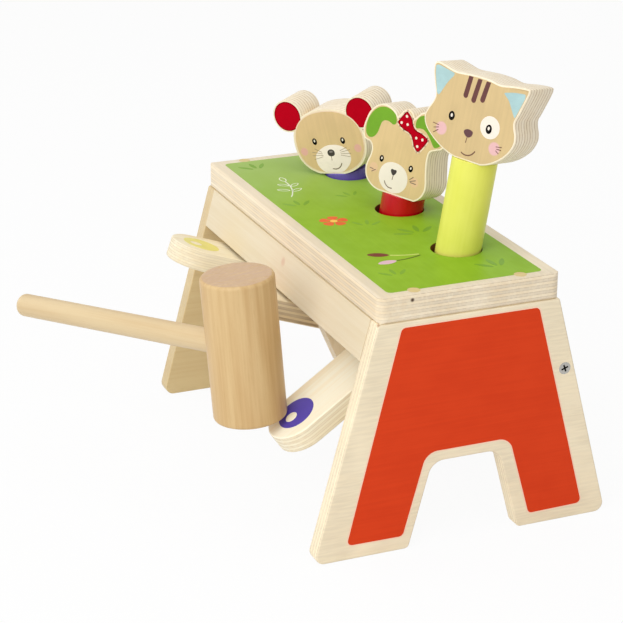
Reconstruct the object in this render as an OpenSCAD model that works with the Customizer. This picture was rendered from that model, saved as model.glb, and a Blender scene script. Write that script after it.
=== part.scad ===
// Peg pounding bench: a wooden stand whose three hinged levers throw up three
// animal pegs, with a mallet that stands on the lever nearest to the viewer.
// X runs along the bench, -Y is the lever side, +Z is up. The origin is on the
// floor under the middle of the top board. All sizes are in millimetres.

/* [Top board] */
// Length of the top board along X
board_len = 255; // [220:1:300]
// Width of the top board along Y
board_wid = 106; // [96:1:120]
// Thickness of the top board
board_thk = 15; // [12:0.5:20]
// Radius of the board's upright corners
board_corner = 5; // [3:0.5:14]
// Rounding of the board's long and short edges
board_ease = 2; // [0.5:0.25:3]
// Height of the play surface above the floor
stand_h = 147; // [138:1:165]

/* [End panels] */
// Thickness of each end panel
panel_thk = 10; // [9:0.5:14]
// Width across the feet of an end panel
foot_wid = 177; // [160:1:200]
// Rounding of the feet's outer corners
foot_corner = 5; // [3:0.5:12]
// Rounding of the feet's inner corners
foot_inner_corner = 3; // [1:0.5:6]
// Width of the arch between the feet, at the floor
arch_wid = 66; // [50:1:76]
// Height of the arch between the feet
arch_h = 49; // [36:1:56]
// Rounding of the arch's upper corners
arch_corner = 9; // [4:0.5:14]
// Rounding of a panel's upright edges
panel_ease = 1.5; // [0.5:0.25:2.5]

/* [Front apron] */
// Height of the apron under the top board
apron_h = 23; // [16:0.5:24]
// Thickness of the apron
apron_thk = 9; // [6:0.5:12]
// Rounding of the apron's lower edges
apron_ease = 1; // [0.5:0.25:2]

/* [Back rail] */
// Height of the rail's section
rail_h = 24; // [16:1:30]
// Thickness of the rail's section
rail_thk = 10; // [8:0.5:11]
// Height of the rail's centre above the floor
rail_z = 91; // [80:1:100]
// Rounding of the rail's edges
rail_ease = 1; // [0.5:0.25:2]
// Wood left between the rail and the panels' back edge
rail_inset = 0.8; // [0.4:0.1:3]
// Diameter of the rail's screw heads
screw_head_d = 7; // [5:0.25:8]
// Diameter of the rail's screw shanks
screw_shank_d = 3.5; // [2.5:0.25:4.5]
// Length of a rail screw
screw_len = 32; // [24:1:45]

/* [Board dowels] */
// Diameter of the dowels that join the board to the end panels
dowel_d = 7; // [5:0.5:8]
// Depth of a dowel in the end panel
dowel_depth = 20; // [12:1:30]
// Distance between the two dowels of a panel
dowel_pitch = 62; // [40:1:80]

/* [Levers] */
// Distance between neighbouring levers and peg holes
lever_pitch = 73.5; // [71:0.5:76]
// Width of a lever
lever_wid = 36.5; // [30:0.5:38]
// Thickness of a lever
lever_thk = 12; // [9:0.5:13]
// Distance from the pivot to the centre of the rounded striking end
strike_reach = 54; // [50:0.5:56]
// Length of the lever's inner arm, from the pivot to its square end
inner_arm = 57; // [54:0.5:60]
// Rounding of the inner arm's upper edge, which pushes the peg
inner_round = 3; // [1:0.5:5]
// Rise of the striking end when a lever is up, in degrees
up_deg = 19.3; // [15:0.1:19.5]
// Drop of the striking end when a lever is pressed, in degrees
down_deg = 34.5; // [25:0.5:36]
// Distance of the pivot behind the board's front edge
pivot_in = 24.5; // [22:0.5:27]
// Distance of the pivot below the board's underside
pivot_drop = 41.5; // [41:0.5:50]
// Softening of a lever's edges
lever_ease = 1; // [0.25:0.25:2]

/* [Axle] */
// Diameter of the axle rod
axle_d = 6; // [5:0.5:7]
// Depth of the blind axle holes in the end panels
axle_seat = 5; // [3:0.5:7]
// Radial running clearance between a lever and the axle
axle_run = 0.08; // [0.03:0.01:0.1]
// Outer diameter of the spacer sleeves on the axle
sleeve_d = 12; // [9:0.5:14]
// Side play between a lever and a sleeve
side_play = 0.4; // [0.3:0.1:0.8]

/* [Hangers] */
// Thickness of the two hangers that carry the axle
hanger_thk = 10; // [8:0.5:14]
// Width of a hanger under the board
hanger_wid = 36; // [30:1:40]
// Width of a hanger's lower end
hanger_tip_wid = 16; // [14:1:24]
// Length of a hanger's straight upper part
hanger_straight = 35; // [25:1:40]
// Length of a hanger's tapered lower part
hanger_taper = 23; // [18:1:30]
// Rounding of a hanger's corners
hanger_corner = 3; // [1:0.5:6]

/* [Pegs] */
// Diameter of a peg
peg_d = 25; // [20:0.5:25.5]
// Length of a peg, up to the seat of its head
peg_len = 71; // [66:0.5:76]
// How much shorter the mouse's peg is than the other two
mouse_peg_less = 3.5; // [0:0.25:5]
// Rounding of a peg's lower rim
peg_round = 1; // [0.5:0.25:2]
// Lean of the pegs in their holes, in degrees
peg_lean = 9.5; // [6:0.5:9.5]
// Clearance between a leaning peg and its hole
peg_clear = 0.35; // [0.25:0.05:0.8]
// Distance of the peg holes behind the board's middle line
hole_y = 17.75; // [15:0.25:20]
// Gap between a raised lever's resting peg and the lever
seat_gap = 0.35; // [0.3:0.05:0.6]
// Gap between the thrown peg and its lever
thrown_gap = 0.65; // [0.3:0.05:0.9]
// Direction of the cat peg's lean, in degrees from +X
cat_lean_dir = 90; // [60:5:120]
// Direction of the dog peg's lean, in degrees from +X
dog_lean_dir = 90; // [60:5:120]
// Direction of the mouse peg's lean, in degrees from +X
mouse_lean_dir = 241; // [230:1:270]

/* [Heads] */
// Thickness of the animal heads
head_thk = 22; // [18:0.5:24]
// Width of the cat's head across the ears
cat_wid = 62; // [54:1:66]
// Height of the cat's head
cat_h = 48; // [42:1:54]
// Turn of the cat's head, in degrees
cat_turn = 26; // [20:1:30]
// Tilt of the cat's head, in degrees
cat_tilt = 1; // [-3:0.5:3]
// Sideways offset of the cat's head on its peg
cat_offset = -0.5; // [-2:0.25:2]
// Width of the dog's face across the cheeks
dog_wid = 42.5; // [38:0.5:46]
// Height of the dog's head at its left ear, without the bow
dog_h = 49.5; // [44:0.5:52]
// Turn of the dog's head, in degrees
dog_turn = 30; // [24:1:34]
// Tilt of the dog's head, in degrees
dog_tilt = 4; // [-2:0.5:6]
// Sideways offset of the dog's head on its peg
dog_offset = -1.6; // [-3:0.2:2]
// Width of the mouse's face
mouse_wid = 50.4; // [46:0.4:54]
// Height of the mouse's face
mouse_h = 41.2; // [36:0.4:44]
// Radius of the mouse's ears
mouse_ear_r = 10; // [8:0.5:12]
// Turn of the mouse's head, in degrees
mouse_turn = 36.5; // [30:0.5:42]
// Tilt of the mouse's head, in degrees
mouse_tilt = -4; // [-6:0.5:2]
// Sideways offset of the mouse's head on its peg
mouse_offset = 0.3; // [-2:0.1:2]
// Diameter of the pins that join the heads to the pegs
pin_d = 6; // [5:0.5:8]
// Length of a joining pin
pin_len = 26; // [20:1:32]

/* [Mallet] */
// Diameter of the mallet's head
mallet_d = 40.5; // [34:0.5:44]
// Length of the mallet's head
mallet_len = 82; // [74:1:88]
// Rounding of the mallet's rims
mallet_round = 2; // [1:0.25:4]
// Diameter of the handle
handle_d = 13.2; // [11:0.2:14]
// Reach of the handle from the middle of the head
handle_len = 161; // [140:1:170]
// Distance of the handle from the standing face of the mallet
handle_up = 40.3; // [36:0.1:46]
// Depth of the handle's seat beyond the middle of the head
handle_seat = 10; // [6:1:14]
// Rounding of the handle's free end
handle_round = 4; // [2:0.5:6]
// Direction of the handle, in degrees from +X
handle_dir = 212.8; // [206:0.2:220]
// Backward lean of the mallet along the levers, in degrees
mallet_lean_y = 4.35; // [3:0.05:6]
// Sideways lean of the mallet along the bench, in degrees
mallet_lean_x = 1.8; // [0:0.1:3]
// Distance of the mallet's standing face beyond the board's front edge
mallet_out = 45.1; // [43:0.1:47]
// Distance of the mallet inward from the near lever's middle line
mallet_in = 12.8; // [10:0.1:14]
// Gap between the mallet and the lever it stands on
mallet_gap = 0.35; // [0.3:0.05:0.8]

/* [Hidden] */

// One overrun for all cuts, and the number of steps in a corner or a curve.
over = 1;
corner_steps = 8;
curve_steps = 5;
oval_steps = 72;
// Clearance of a pin or rod in the bore that holds it
fit = 0.02;

// Levels and places that follow from the sizes above.
under_z = stand_h - board_thk;
half_len = board_len / 2;
half_wid = board_wid / 2;
leg_slope = (foot_wid - board_wid) / 2 / under_z;
leg_deg = atan(leg_slope);
inner_x = half_len - panel_thk;
panel_x = half_len - panel_thk / 2;
pivot_y = -half_wid + pivot_in;
pivot_z = under_z - pivot_drop;
strike_len = strike_reach + lever_wid / 2;
hole_z = stand_h - board_thk / 2;
hole_d = peg_d / cos(peg_lean) + board_thk * tan(peg_lean) + 2 * peg_clear;
rail_y = half_wid + leg_slope * (under_z - rail_z) - (rail_thk / 2 + rail_inset) / cos(leg_deg);
hanger_x = lever_pitch / 2;
lever_xs = [lever_pitch, 0, -lever_pitch];

// Y of an end panel's slanting front edge at a height
function edge_y(z) = -half_wid - leg_slope * (under_z - z);

// Y of the apron's slanting back at a height
function apron_back_y(z) = edge_y(z) + apron_thk;

// Points of an arc that rounds the corner at b
function corner(a, b, c, r) = let (
        u = (a - b) / norm(a - b),
        v = (c - b) / norm(c - b),
        half = acos(u * v) / 2,
        m = b + (u + v) / norm(u + v) * r / sin(half),
        p = b + u * r / tan(half) - m,
        q = b + v * r / tan(half) - m,
        turn = 180 - 2 * half)
    [for (i = [0:corner_steps]) let (s = i / corner_steps)
        m + p * sin((1 - s) * turn) / sin(turn) + q * sin(s * turn) / sin(turn)];

// An outline with each corner rounded by its own radius
function rounded(pts, rads) = let (n = len(pts))
    [for (i = [0:n - 1]) each corner(pts[(i + n - 1) % n], pts[i], pts[(i + 1) % n], rads[i])];

// One point of a smooth curve between b and c
function smooth_point(a, b, c, d, s) =
    (b * 2 + (c - a) * s + (a * 2 - b * 5 + c * 4 - d) * s * s
        + (b * 3 - a - c * 3 + d) * s * s * s) / 2;

// A smooth closed outline through all the points
function smooth(pts) = let (n = len(pts))
    [for (i = [0:n - 1]) for (k = [0:curve_steps - 1])
        smooth_point(pts[(i + n - 1) % n], pts[i], pts[(i + 1) % n], pts[(i + 2) % n],
            k / curve_steps)];

// An outline from its right half and the mirror image of its left half, both
// given from the bottom to the top
function both_sides(right, left) =
    concat(right, [for (i = [len(left) - 2:-1:1]) [-left[i][0], left[i][1]]]);

// A sine or cosine drawn out to make a round face fuller than an ellipse
function fuller(s) = sign(s) * pow(abs(s), mouse_full_share);

// Shares of a width and a height turned into points
function sized(shares, w, h) = [for (p = shares) [p[0] * w, p[1] * h]];

// Direction of an axis that leans by the pegs' angle toward a compass direction
function lean_axis(dir) =
    [sin(peg_lean) * cos(dir), sin(peg_lean) * sin(dir), cos(peg_lean)];

// Depth, along a leaning peg, from the hole's middle to the lever under it.
// The lever is given by the angle by which its inner end is raised.
function touch_depth(deg, dir) = let (
        v = lean_axis(dir),
        along = [0, cos(deg), sin(deg)],
        up = [0, -sin(deg), cos(deg)],
        from_pivot = [0, hole_y - pivot_y, hole_z - pivot_z],
        on_top = (up * from_pivot - lever_thk / 2
            - (peg_d / 2 - peg_round) * sqrt(1 - pow(up * v, 2))
            - peg_round * (1 - up * v)) / (up * v),
        tip = along * (inner_arm - inner_round) + up * (lever_thk / 2 - inner_round),
        on_tip = (from_pivot - tip) * v - inner_round - abs(v[0]) * peg_d / 2)
    along * v > 0 ? max(on_top, on_tip) : on_top;

// Right and left halves of the cat's head, as shares of its width and height.
cat_right_shares = [[0, 0], [0.1, 0.008], [0.2, 0.022], [0.292, 0.07], [0.385, 0.155],
    [0.457, 0.26], [0.493, 0.375], [0.487, 0.465], [0.463, 0.54], [0.453, 0.61],
    [0.475, 0.69], [0.523, 0.88], [0.54, 0.975], [0.517, 1.006], [0.385, 0.99],
    [0.24, 0.957], [0.13, 0.972], [0, 0.975]];
cat_left_shares = [[0, 0], [0.1, 0.014], [0.2, 0.045], [0.29, 0.095], [0.38, 0.165],
    [0.45, 0.245], [0.484, 0.345], [0.466, 0.44], [0.425, 0.54], [0.41, 0.625],
    [0.445, 0.75], [0.477, 0.88], [0.477, 0.965], [0.44, 0.992], [0.37, 0.98],
    [0.245, 0.95], [0.12, 0.962], [0, 0.975]];
// Right half of the dog's head with its raised ear, as shares of its width and height.
dog_right_shares = [[0, 0], [0.16, 0.004], [0.32, 0.025], [0.44, 0.095], [0.495, 0.19],
    [0.495, 0.275], [0.465, 0.375], [0.435, 0.49], [0.42, 0.585], [0.435, 0.66],
    [0.505, 0.7], [0.605, 0.75], [0.63, 0.85], [0.575, 0.955], [0.46, 1.045],
    [0.32, 1.085], [0.19, 1.07], [0.105, 0.99], [0, 0.88]];
// Left half of the dog's head with its hanging ear, measured the same way.
dog_left_shares = [[0, 0], [0.16, 0.004], [0.32, 0.025], [0.445, 0.095], [0.495, 0.19],
    [0.495, 0.275], [0.468, 0.375], [0.468, 0.45], [0.515, 0.515], [0.62, 0.535],
    [0.67, 0.635], [0.655, 0.77], [0.61, 0.88], [0.505, 0.975], [0.37, 1.0],
    [0.24, 0.965], [0.13, 0.885], [0, 0.88]];
// Outline of the upper lobe of the dog's bow, as shares of the dog's width and height.
bow_shares = [[0.02, 0.725], [0.11, 0.86], [0.06, 1.0], [-0.04, 1.045], [-0.13, 0.98],
    [-0.19, 0.86], [-0.09, 0.735]];
// How much fuller than an ellipse the mouse's face is: 1 for an ellipse, less for fuller.
mouse_full_share = 0.87;
// Places of the mouse's ears, as shares of its width and height.
mouse_ear_shares = [[-0.513, 0.937], [0.5, 0.905]];
// How much of a head's height its flat seat takes off.
cat_seat_share = 0.014;
dog_seat_share = 0.0235;
mouse_seat_share = 0.018;
// Share of the pin's length that is in the head.
pin_head_share = 0.5;
// Countersink depth and cross recess of a rail screw, as shares of its head.
screw_sink_share = 0.4;
recess_long_share = 0.6;
recess_wide_share = 0.14;
recess_deep_share = 0.25;

// The heads' outlines and the heights their seats take off.
cat_cut = cat_h * cat_seat_share;
dog_cut = dog_h * dog_seat_share;
mouse_cut = mouse_h * mouse_seat_share;
cat_outline = smooth(both_sides(sized(cat_right_shares, cat_wid, cat_h),
    sized(cat_left_shares, cat_wid, cat_h)));
dog_outline = smooth(both_sides(sized(dog_right_shares, dog_wid, dog_h),
    sized(dog_left_shares, dog_wid, dog_h)));
mouse_outline = [for (i = [0:oval_steps - 1]) let (a = 360 * i / oval_steps)
    [mouse_wid / 2 * fuller(cos(a)), mouse_h / 2 * (1 + fuller(sin(a)))]];

// Height of a leaning head's lowest point above the middle of its seat
function head_low(outline, dir, turn, tilt, offset, cut) = min([for (p = outline, side = [-1, 1])
    let (across = (p[0] + offset) * cos(tilt) + (p[1] - cut) * sin(tilt),
        above = (p[1] - cut) * cos(tilt) - (p[0] + offset) * sin(tilt))
    max(0, above) * cos(peg_lean)
        - sin(peg_lean) * (across * cos(turn - dir) - side * head_thk / 2 * sin(turn - dir))]);

// Depth at which a leaning peg's head comes down on the top board
function board_depth(len, low) = len - (stand_h + seat_gap - hole_z - low) / cos(peg_lean);

// A lowered peg stands on its lever, or its head rests on the board if the peg is short.
mouse_peg_len = peg_len - mouse_peg_less;
cat_depth = touch_depth(down_deg, cat_lean_dir) - thrown_gap;
dog_depth = min(touch_depth(-up_deg, dog_lean_dir) - seat_gap, board_depth(peg_len,
    head_low(dog_outline, dog_lean_dir, dog_turn, dog_tilt, dog_offset, dog_cut)));
mouse_depth = min(touch_depth(-up_deg, mouse_lean_dir) - seat_gap, board_depth(mouse_peg_len,
    head_low(mouse_outline, mouse_lean_dir, mouse_turn, mouse_tilt, mouse_offset, mouse_cut)));

// Colours as they show.
pale = [0.92, 0.84, 0.7];
tan_wood = [0.86, 0.73, 0.52];
steel = [0.75, 0.75, 0.77];

// A rectangle with rounded corners, centred
module round_rect(w, h, r) {
    square([w - 2 * r, h], center = true);
    square([w, h - 2 * r], center = true);
    for (x = [-1, 1], y = [-1, 1])
        translate([x * (w / 2 - r), y * (h / 2 - r)]) circle(r = r, $fn = 48);
}

// A round rod standing on the origin with rounded rims
module rod(r, l, low, high) {
    rotate_extrude($fn = 96) {
        translate([0, low]) square([r, l - low - high]);
        square([r - low, low]);
        translate([0, l - high]) square([r - high, high]);
        intersection() {
            translate([r - low, low]) circle(r = low, $fn = 48);
            translate([r - low, 0]) square([low, low]);
        }
        intersection() {
            translate([r - high, l - high]) circle(r = high, $fn = 48);
            translate([r - high, l - high]) square([high, high]);
        }
    }
}

// Places its children on a leaning axis through a peg hole's middle
module on_peg(x, dir) {
    translate([x, hole_y, hole_z])
        rotate([0, 0, dir]) rotate([0, peg_lean, 0]) rotate([0, 0, -dir])
            children();
}

// A bore along X, centred on a point of the YZ plane
module bore_x(r, x, y, z, l) {
    translate([x, y, z]) rotate([0, 90, 0]) cylinder(r = r, h = l, center = true, $fn = 64);
}

module top_board() {
    color(pale)
    difference() {
        translate([0, 0, stand_h - board_thk / 2])
            intersection() {
                linear_extrude(board_thk + 2 * over, center = true)
                    round_rect(board_len, board_wid, board_corner);
                rotate([90, 0, 90]) linear_extrude(board_len + 2 * over, center = true)
                    round_rect(board_wid, board_thk, board_ease);
                rotate([90, 0, 0]) linear_extrude(board_wid + 2 * over, center = true)
                    round_rect(board_len, board_thk, board_ease);
            }
        for (x = lever_xs)
            translate([x, hole_y, under_z - over])
                cylinder(d = hole_d, h = board_thk + 2 * over, $fn = 96);
        for (x = [-panel_x, panel_x], y = [-dowel_pitch / 2, dowel_pitch / 2])
            translate([x, y, under_z - over])
                cylinder(r = dowel_d / 2 + fit, h = board_thk + 2 * over, $fn = 48);
    }
}

// Outline of an end panel in the YZ plane
module panel_outline() {
    arch_top_y = arch_wid / 2 - leg_slope * arch_h;
    polygon(rounded(
        [[-half_wid, under_z], [-foot_wid / 2, 0], [-arch_wid / 2, 0], [-arch_top_y, arch_h],
            [arch_top_y, arch_h], [arch_wid / 2, 0], [foot_wid / 2, 0], [half_wid, under_z]],
        [panel_ease, foot_corner, foot_inner_corner, arch_corner,
            arch_corner, foot_inner_corner, foot_corner, panel_ease]));
}

// An end panel with its outer face toward +X
module end_panel() {
    difference() {
        translate([inner_x, 0, 0]) rotate([90, 0, 90]) linear_extrude(panel_thk) panel_outline();
        bore_x(axle_d / 2 + fit, inner_x, pivot_y, pivot_z, 2 * axle_seat);
        bore_x(screw_shank_d / 2 + fit, panel_x, rail_y, rail_z, panel_thk + 2 * over);
        translate([half_len, rail_y, rail_z]) rotate([0, -90, 0])
            cylinder(r1 = screw_head_d / 2 + fit, r2 = screw_shank_d / 2 + fit,
                h = screw_head_d * screw_sink_share, $fn = 48);
        for (y = [-dowel_pitch / 2, dowel_pitch / 2])
            translate([panel_x, y, under_z - dowel_depth])
                cylinder(r = dowel_d / 2 + fit, h = dowel_depth + over, $fn = 48);
    }
}

module end_panel_near() {
    color(pale) end_panel();
}

module end_panel_far() {
    color(pale) mirror([1, 0, 0]) end_panel();
}

module front_apron() {
    low = under_z - apron_h;
    color(pale)
    rotate([90, 0, 90]) linear_extrude(2 * inner_x, center = true)
        polygon(concat([[edge_y(under_z), under_z]],
            corner([edge_y(under_z), under_z], [edge_y(low), low], [apron_back_y(low), low],
                apron_ease),
            corner([edge_y(low), low], [apron_back_y(low), low], [apron_back_y(under_z), under_z],
                apron_ease),
            [[apron_back_y(under_z), under_z]]));
}

module back_rail() {
    color(pale)
    difference() {
        translate([0, rail_y, rail_z]) rotate([leg_deg, 0, 0])
            rotate([90, 0, 90]) linear_extrude(2 * inner_x, center = true)
                round_rect(rail_thk, rail_h, rail_ease);
        for (x = [-inner_x, inner_x])
            bore_x(screw_shank_d / 2 + fit, x, rail_y, rail_z, 2 * (screw_len - panel_thk + over));
    }
}

module board_dowels() {
    color(tan_wood)
    for (x = [-panel_x, panel_x], y = [-dowel_pitch / 2, dowel_pitch / 2])
        translate([x, y, under_z - dowel_depth])
            cylinder(r = dowel_d / 2, h = dowel_depth + board_thk, $fn = 48);
}

// A countersunk cross-head screw, its head flush with the near panel
module rail_screw() {
    sink = screw_head_d * screw_sink_share;
    difference() {
        translate([half_len, rail_y, rail_z]) rotate([0, -90, 0]) {
            cylinder(r1 = screw_head_d / 2, r2 = screw_shank_d / 2, h = sink, $fn = 48);
            cylinder(r = screw_shank_d / 2, h = screw_len, $fn = 48);
        }
        for (a = [20, 110])
            translate([half_len, rail_y, rail_z]) rotate([a, 0, 0])
                cube([2 * screw_head_d * recess_deep_share, screw_head_d * recess_wide_share,
                    screw_head_d * recess_long_share], center = true);
    }
}

module rail_screws() {
    color(steel) {
        rail_screw();
        mirror([1, 0, 0]) rail_screw();
    }
}

module axle_rod() {
    color(steel) bore_x(axle_d / 2, 0, pivot_y, pivot_z, 2 * (inner_x + axle_seat));
}

// A hanger plate in its place along X
module hanger(x) {
    mid = pivot_y;
    low = under_z - hanger_straight;
    tip = low - hanger_taper;
    color(pale)
    difference() {
        translate([x, 0, 0]) rotate([90, 0, 90]) linear_extrude(hanger_thk, center = true)
            difference() {
                polygon(rounded(
                    [[mid - hanger_wid / 2, under_z + hanger_corner], [mid - hanger_wid / 2, low],
                        [mid - hanger_tip_wid / 2, tip], [mid + hanger_tip_wid / 2, tip],
                        [mid + hanger_wid / 2, low], [mid + hanger_wid / 2, under_z + hanger_corner]],
                    [hanger_corner, hanger_corner, hanger_corner,
                        hanger_corner, hanger_corner, hanger_corner]));
                translate([mid - hanger_wid, under_z]) square([2 * hanger_wid, 2 * hanger_corner]);
                // The front corner is cut to the apron's slanting back
                polygon([[apron_back_y(under_z + over), under_z + over],
                    [apron_back_y(under_z - apron_h), under_z - apron_h],
                    [mid - hanger_wid, under_z - apron_h], [mid - hanger_wid, under_z + over]]);
            }
        bore_x(axle_d / 2 + fit, x, pivot_y, pivot_z, hanger_thk + 2 * over);
    }
}

module hanger_near() {
    hanger(hanger_x);
}

module hanger_far() {
    hanger(-hanger_x);
}

// One sleeve on the axle between two places along X
module sleeve(from, to) {
    difference() {
        bore_x(sleeve_d / 2, (from + to) / 2, pivot_y, pivot_z, to - from);
        bore_x(axle_d / 2 + fit, (from + to) / 2, pivot_y, pivot_z, to - from + 2 * over);
    }
}

module axle_sleeves() {
    side = lever_wid / 2 + side_play;
    color(tan_wood)
    for (s = [-1, 1]) {
        sleeve(min(s * side, s * (hanger_x - hanger_thk / 2)),
            max(s * side, s * (hanger_x - hanger_thk / 2)));
        sleeve(min(s * (hanger_x + hanger_thk / 2), s * (lever_pitch - side)),
            max(s * (hanger_x + hanger_thk / 2), s * (lever_pitch - side)));
        sleeve(min(s * (lever_pitch + side), s * inner_x),
            max(s * (lever_pitch + side), s * inner_x));
    }
}

// A lever at a place along X, its striking end lowered by an angle
module lever(x, deg) {
    square_len = strike_reach + inner_arm;
    color(pale)
    translate([x, pivot_y, pivot_z]) rotate([deg, 0, 0])
    difference() {
        union() {
            translate([0, -strike_reach, -lever_thk / 2])
                rod(lever_wid / 2, lever_thk, lever_ease, lever_ease);
            translate([0, inner_arm - square_len / 2, 0])
                rotate([90, 0, 0]) linear_extrude(square_len, center = true)
                    round_rect(lever_wid, lever_thk, lever_ease);
        }
        rotate([0, 90, 0])
            cylinder(r = axle_d / 2 + axle_run, h = lever_wid + 2 * over, center = true, $fn = 64);
        translate([0, inner_arm - inner_round, lever_thk / 2 - inner_round])
            difference() {
                translate([-lever_wid / 2 - over, 0, 0])
                    cube([lever_wid + 2 * over, inner_round + over, inner_round + over]);
                rotate([0, 90, 0])
                    cylinder(r = inner_round, h = lever_wid + 4 * over, center = true, $fn = 64);
            }
    }
}

module lever_near() {
    lever(lever_xs[0], down_deg);
}

module lever_middle() {
    lever(lever_xs[1], -up_deg);
}

module lever_far() {
    lever(lever_xs[2], -up_deg);
}

// A peg with a bore for its pin, its lower end at a depth along its axis
module peg(x, dir, depth, length) {
    in_peg = pin_len * (1 - pin_head_share);
    on_peg(x, dir)
        translate([0, 0, -depth])
            difference() {
                rod(peg_d / 2, length, peg_round, peg_round / 2);
                translate([0, 0, length - in_peg])
                    cylinder(r = pin_d / 2 + fit, h = in_peg + over, $fn = 48);
            }
}

module cat_peg() {
    color([0.91, 0.92, 0.39]) peg(lever_xs[0], cat_lean_dir, cat_depth, peg_len);
}

module dog_peg() {
    color([0.75, 0.04, 0.1]) peg(lever_xs[1], dog_lean_dir, dog_depth, peg_len);
}

module mouse_peg() {
    color([0.31, 0.24, 0.59])
    peg(lever_xs[2], mouse_lean_dir, mouse_depth, mouse_peg_len);
}

// A head on its peg's end: the outline is turned, tilted and cut flat at its seat
module head(x, dir, seat, turn, tilt, offset, cut) {
    in_head = pin_len * pin_head_share;
    reach = 2 * cat_wid;
    on_peg(x, dir)
        translate([0, 0, seat]) rotate([0, 0, turn])
            difference() {
                rotate([0, tilt, 0]) translate([offset, 0, -cut])
                    rotate([90, 0, 0]) linear_extrude(head_thk, center = true) children();
                translate([-reach / 2, -head_thk, -head_thk])
                    cube([reach, 2 * head_thk, head_thk]);
                translate([0, 0, -over])
                    cylinder(r = pin_d / 2 + fit, h = in_head + over, $fn = 48);
            }
}

module cat_head() {
    color(tan_wood)
    head(lever_xs[0], cat_lean_dir, peg_len - cat_depth, cat_turn, cat_tilt, cat_offset, cat_cut)
        polygon(cat_outline);
}

module dog_head() {
    color(tan_wood)
    head(lever_xs[1], dog_lean_dir, peg_len - dog_depth, dog_turn, dog_tilt, dog_offset, dog_cut) {
        polygon(dog_outline);
        polygon(smooth(sized(bow_shares, dog_wid, dog_h)));
    }
}

module mouse_head() {
    color(tan_wood)
    head(lever_xs[2], mouse_lean_dir, mouse_peg_len - mouse_depth, mouse_turn, mouse_tilt,
            mouse_offset, mouse_cut) {
        polygon(mouse_outline);
        for (p = sized(mouse_ear_shares, mouse_wid, mouse_h))
            translate(p) circle(r = mouse_ear_r, $fn = 64);
    }
}

// A pin, half in a peg's end and half in its head
module pin(x, dir, seat) {
    in_peg = pin_len * (1 - pin_head_share);
    color(tan_wood)
    on_peg(x, dir)
        translate([0, 0, seat - in_peg]) cylinder(d = pin_d, h = pin_len, $fn = 48);
}

module cat_pin() {
    pin(lever_xs[0], cat_lean_dir, peg_len - cat_depth);
}

module dog_pin() {
    pin(lever_xs[1], dog_lean_dir, peg_len - dog_depth);
}

module mouse_pin() {
    pin(lever_xs[2], mouse_lean_dir, mouse_peg_len - mouse_depth);
}

// Height of the mallet's standing face at which its rounded rim clears the
// pressed lever under it by the gap
function mallet_foot_z(foot_y) = let (
        up = [0, -sin(down_deg), cos(down_deg)],
        axis = [-sin(mallet_lean_x) * cos(mallet_lean_y), -sin(mallet_lean_y),
            cos(mallet_lean_x) * cos(mallet_lean_y)],
        rim_r = mallet_d / 2 - mallet_round,
        rise = lever_thk / 2 + mallet_gap + mallet_round * (1 - up * axis)
            + rim_r * sqrt(1 - pow(up * axis, 2)))
    pivot_z + (rise + (foot_y - pivot_y) * sin(down_deg)) / cos(down_deg);

// Places its children on the mallet's axis, the standing face at the origin
module on_mallet() {
    foot_y = -half_wid - mallet_out;
    translate([lever_pitch - mallet_in, foot_y, mallet_foot_z(foot_y)])
        rotate([mallet_lean_y, -mallet_lean_x, 0])
            children();
}

module mallet_head() {
    color(tan_wood)
    on_mallet()
        difference() {
            rod(mallet_d / 2, mallet_len, mallet_round, mallet_round);
            translate([0, 0, handle_up]) rotate([0, 90, handle_dir])
                translate([0, 0, -handle_seat])
                    cylinder(r = handle_d / 2 + fit, h = handle_seat + mallet_d, $fn = 64);
        }
}

module mallet_handle() {
    color(tan_wood)
    on_mallet()
        translate([0, 0, handle_up]) rotate([0, 90, handle_dir])
            translate([0, 0, -handle_seat])
                rod(handle_d / 2, handle_seat + handle_len, handle_round / 4, handle_round);
}

top_board();
end_panel_near();
end_panel_far();
front_apron();
back_rail();
board_dowels();
rail_screws();
axle_rod();
hanger_near();
hanger_far();
axle_sleeves();
lever_near();
lever_middle();
lever_far();
cat_peg();
dog_peg();
mouse_peg();
cat_head();
dog_head();
mouse_head();
cat_pin();
dog_pin();
mouse_pin();
mallet_head();
mallet_handle();
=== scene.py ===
import math
from collections import namedtuple

import bmesh
import bpy
from mathutils import Matrix, Vector

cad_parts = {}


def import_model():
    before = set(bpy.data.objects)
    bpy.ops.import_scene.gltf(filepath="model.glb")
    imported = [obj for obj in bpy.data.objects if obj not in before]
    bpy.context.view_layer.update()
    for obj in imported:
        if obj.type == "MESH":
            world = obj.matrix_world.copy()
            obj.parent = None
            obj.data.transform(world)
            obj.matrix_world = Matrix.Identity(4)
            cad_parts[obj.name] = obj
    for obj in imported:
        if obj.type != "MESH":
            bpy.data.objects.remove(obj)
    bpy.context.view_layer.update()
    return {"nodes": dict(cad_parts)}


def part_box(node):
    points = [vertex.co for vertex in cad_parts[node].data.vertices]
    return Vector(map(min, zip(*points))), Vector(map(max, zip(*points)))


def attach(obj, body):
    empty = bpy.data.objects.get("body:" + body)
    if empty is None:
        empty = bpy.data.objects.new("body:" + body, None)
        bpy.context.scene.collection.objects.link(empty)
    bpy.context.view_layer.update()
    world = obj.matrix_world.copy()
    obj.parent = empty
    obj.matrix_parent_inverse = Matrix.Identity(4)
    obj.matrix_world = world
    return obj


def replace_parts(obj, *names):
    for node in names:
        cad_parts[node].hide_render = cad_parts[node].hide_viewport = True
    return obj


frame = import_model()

NODES = frame["nodes"]
MM = 0.001
LAYER = 0.05 * MM        # thickness of one printed layer
MERGE = 0.001 * MM       # vertices closer than this are one
ON_FACE = 0.02 * MM      # a mesh face closer than this to a side of the toy lies on it
LEVEL = 0.999            # and it is level when z makes up this much of its normal
COPLANAR = 0.01          # radians that mesh faces of one plane may differ by
SHARP = math.radians(30)                # an edge that bends less than this is smooth


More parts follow.
